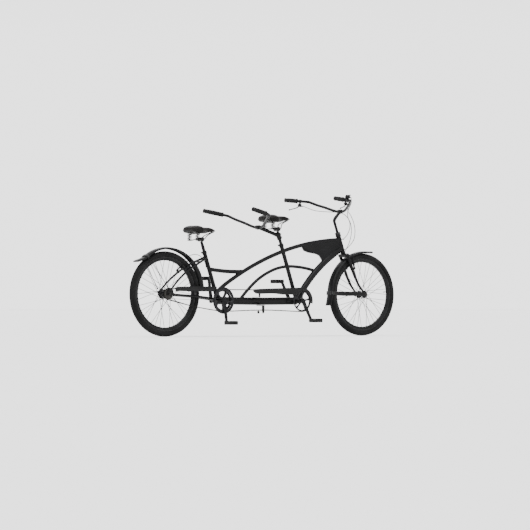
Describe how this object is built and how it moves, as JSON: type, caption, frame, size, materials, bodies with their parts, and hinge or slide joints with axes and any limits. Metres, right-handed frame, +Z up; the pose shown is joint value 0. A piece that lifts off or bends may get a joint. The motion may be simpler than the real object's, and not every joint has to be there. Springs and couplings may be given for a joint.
{
  "type": "tandem bicycle",
  "caption": "Tandem cruiser bicycle with curved twin-arch frame, swept-back handlebars, sprung saddles, full fenders and chain guards.",
  "frame": {"origin": "the point on the ground below the middle of the wheelbase, at the bottom centre of the bounding box", "axes": "+X forward to the front wheel, +Y to the rider's left, +Z up; the chain side is at -Y"},
  "size_m": [2.625, 0.6715, 1.1175],
  "materials": {
    "frame_paint": "gloss black enamel",
    "fender_paint": "gloss black enamel",
    "fender_stay_metal": "satin black",
    "guard_paint": "satin black",
    "chain_steel": "oiled black steel",
    "axle_steel": "black oxide steel",
    "headset_steel": "satin black steel",
    "post_steel": "gloss black steel",
    "rail_steel": "satin black steel wire",
    "saddle_cover": "matte grained black vinyl over foam",
    "stem_alloy": "gloss black forged stem",
    "bar_steel": "gloss black steel tube",
    "grip_rubber": "matte black rubber",
    "control_black": "black moulded plastic and alloy",
    "cable_housing": "black cable housing",
    "tyre_rubber": "black tyre rubber",
    "rim_black": "satin black alloy rim",
    "hub_black": "satin black hub and spokes",
    "sprocket_steel": "black steel",
    "crank_alloy": "satin black cranks and rings",
    "pedal_rubber": "black rubber blocks",
    "idler_nylon": "black nylon roller",
    "brake_alloy": "black anodised alloy"
  },
  "bodies": {
    "frame": {"frame": "frame_paint", "rear_stays": "frame_paint", "frame_tank": "frame_paint", "headset_upper": "headset_steel", "rear_fender": "fender_paint", "rear_fender_stay": "fender_stay_metal", "front_chain_guard": "guard_paint", "rear_chain_guard": "guard_paint", "tensioner_bracket": "guard_paint", "drive_chain": "chain_steel", "timing_chain": "chain_steel", "rear_axle": "axle_steel", "rear_brake_cable": "cable_housing", "front_seatpost": "post_steel", "front_saddle": "saddle_cover", "front_saddle_rails": "rail_steel", "stoker_stem": "stem_alloy", "stoker_handlebar": "bar_steel", "stoker_grip_left": "grip_rubber", "stoker_grip_right": "grip_rubber", "rear_seatpost": "post_steel", "rear_saddle": "saddle_cover", "rear_saddle_rails": "rail_steel", "rear_brake_cable_front": "cable_housing", "shift_cable_front": "cable_housing"},
    "steering": {"fork": "frame_paint", "stem": "stem_alloy", "handlebar": "bar_steel", "grip_left": "grip_rubber", "grip_right": "grip_rubber", "brake_perch_left": "control_black", "brake_perch_right": "control_black", "shifter": "control_black", "front_fender": "fender_paint", "front_fender_stay": "fender_stay_metal", "front_axle": "axle_steel", "front_brake_cable": "cable_housing"},
    "front_wheel": {"front_tyre": "tyre_rubber", "front_rim": "rim_black", "front_hub": "hub_black"},
    "rear_wheel": {"rear_tyre": "tyre_rubber", "rear_rim": "rim_black", "rear_hub": "hub_black"},
    "sprocket": {"rear_sprocket": "sprocket_steel"},
    "front_crank": {"front_crank_right": "crank_alloy", "front_crank_left": "crank_alloy"},
    "rear_crank": {"rear_crank_right": "crank_alloy", "rear_crank_left": "crank_alloy"},
    "idler": {"idler_pulley": "idler_nylon"},
    "lever_left": {"brake_lever_left": "control_black"},
    "lever_right": {"brake_lever_right": "control_black"},
    "thumb_lever": {"shifter_lever": "control_black"},
    "front_arm_left": {"front_brake_arm_left": "brake_alloy"},
    "front_arm_right": {"front_brake_arm_right": "brake_alloy"},
    "rear_arm_left": {"rear_brake_arm_left": "brake_alloy"},
    "rear_arm_right": {"rear_brake_arm_right": "brake_alloy"},
    "front_pedal_l": {"front_pedal_left": "pedal_rubber"},
    "front_pedal_r": {"front_pedal_right": "pedal_rubber"},
    "rear_pedal_l": {"rear_pedal_left": "pedal_rubber"},
    "rear_pedal_r": {"rear_pedal_right": "pedal_rubber"}
  },
  "joints": [
    {"name": "steering", "type": "hinge", "parent": "frame", "child": "steering", "pos_m": [0.799, 0, 0.64], "axis": [-0.3387, 0, 0.9409], "range_deg": [-45, 45], "deforming": ["rear_brake_cable_front", "shift_cable_front"]},
    {"name": "front_wheel_spin", "type": "hinge", "parent": "steering", "child": "front_wheel", "pos_m": [0.9825, 0, 0.33], "axis": [0, 1, 0], "continuous": true},
    {"name": "rear_wheel_spin", "type": "hinge", "parent": "frame", "child": "rear_wheel", "pos_m": [-0.9825, 0, 0.33], "axis": [0, 1, 0], "continuous": true},
    {"name": "rear_crank_spin", "type": "hinge", "parent": "frame", "child": "rear_crank", "pos_m": [-0.4675, 0, 0.28], "axis": [0, 1, 0], "continuous": true},
    {"name": "front_crank_spin", "type": "hinge", "parent": "frame", "child": "front_crank", "pos_m": [0.3155, 0, 0.278], "axis": [0, 1, 0], "continuous": true},
    {"name": "sprocket_spin", "type": "hinge", "parent": "frame", "child": "sprocket", "pos_m": [-0.9825, 0, 0.33], "axis": [0, 1, 0], "continuous": true},
    {"name": "idler_spin", "type": "hinge", "parent": "frame", "child": "idler", "pos_m": [-0.0655, 0, 0.189], "axis": [0, 1, 0], "continuous": true},
    {"name": "front_pedal_right_spin", "type": "hinge", "parent": "front_crank", "child": "front_pedal_r", "pos_m": [0.39766, 0, 0.12348], "axis": [0, 1, 0], "continuous": true},
    {"name": "front_pedal_left_spin", "type": "hinge", "parent": "front_crank", "child": "front_pedal_l", "pos_m": [0.23334, 0, 0.43252], "axis": [0, 1, 0], "continuous": true},
    {"name": "rear_pedal_right_spin", "type": "hinge", "parent": "rear_crank", "child": "rear_pedal_r", "pos_m": [-0.44405, 0, 0.10658], "axis": [0, 1, 0], "continuous": true},
    {"name": "rear_pedal_left_spin", "type": "hinge", "parent": "rear_crank", "child": "rear_pedal_l", "pos_m": [-0.49095, 0, 0.45342], "axis": [0, 1, 0], "continuous": true},
    {"name": "brake_lever_left", "type": "hinge", "parent": "steering", "child": "lever_left", "pos_m": [0.57987, 0.29434, 1.03815], "axis": [0.2691, 0.93, 0.2503], "range_deg": [0, 22], "stiffness_Nm_per_rad": 0.6, "springref_deg": -8.59},
    {"name": "brake_lever_right", "type": "hinge", "parent": "steering", "child": "lever_right", "pos_m": [0.57987, -0.29434, 1.03815], "axis": [-0.2691, 0.93, -0.2503], "range_deg": [0, 22], "stiffness_Nm_per_rad": 0.6, "springref_deg": -8.59},
    {"name": "shifter_lever", "type": "hinge", "parent": "steering", "child": "thumb_lever", "pos_m": [0.61543, -0.27428, 1.10932], "axis": [0.0609, 0.0166, 0.998], "range_deg": [-30, 40]},
    {"name": "front_brake_arm_left", "type": "hinge", "parent": "steering", "child": "front_arm_left", "pos_m": [0.869, 0.049, 0.54], "axis": [0.975, 0, 0.222], "range_deg": [0, 4.3]},
    {"name": "front_brake_arm_right", "type": "hinge", "parent": "steering", "child": "front_arm_right", "pos_m": [0.869, -0.049, 0.54], "axis": [-0.975, 0, -0.222], "range_deg": [0, 4.3]},
    {"name": "rear_brake_arm_left", "type": "hinge", "parent": "frame", "child": "rear_arm_left", "pos_m": [-0.8235, 0.05, 0.5155], "axis": [0.6303, 0, -0.7764], "range_deg": [0, 4.5]},
    {"name": "rear_brake_arm_right", "type": "hinge", "parent": "frame", "child": "rear_arm_right", "pos_m": [-0.8235, -0.05, 0.5155], "axis": [-0.6303, 0, 0.7764], "range_deg": [0, 4.5]}
  ],
  "couplings": [
    {"joint": "front_crank_spin", "follows": "rear_crank_spin", "ratio": 1},
    {"joint": "sprocket_spin", "follows": "rear_crank_spin", "ratio": 1.9091},
    {"joint": "idler_spin", "follows": "rear_crank_spin", "ratio": -5.25},
    {"joint": "front_brake_arm_left", "follows": "brake_lever_left", "ratio": 0.1954},
    {"joint": "front_brake_arm_right", "follows": "brake_lever_left", "ratio": 0.1954},
    {"joint": "rear_brake_arm_left", "follows": "brake_lever_right", "ratio": 0.2045},
    {"joint": "rear_brake_arm_right", "follows": "brake_lever_right", "ratio": 0.2045}
  ]
}
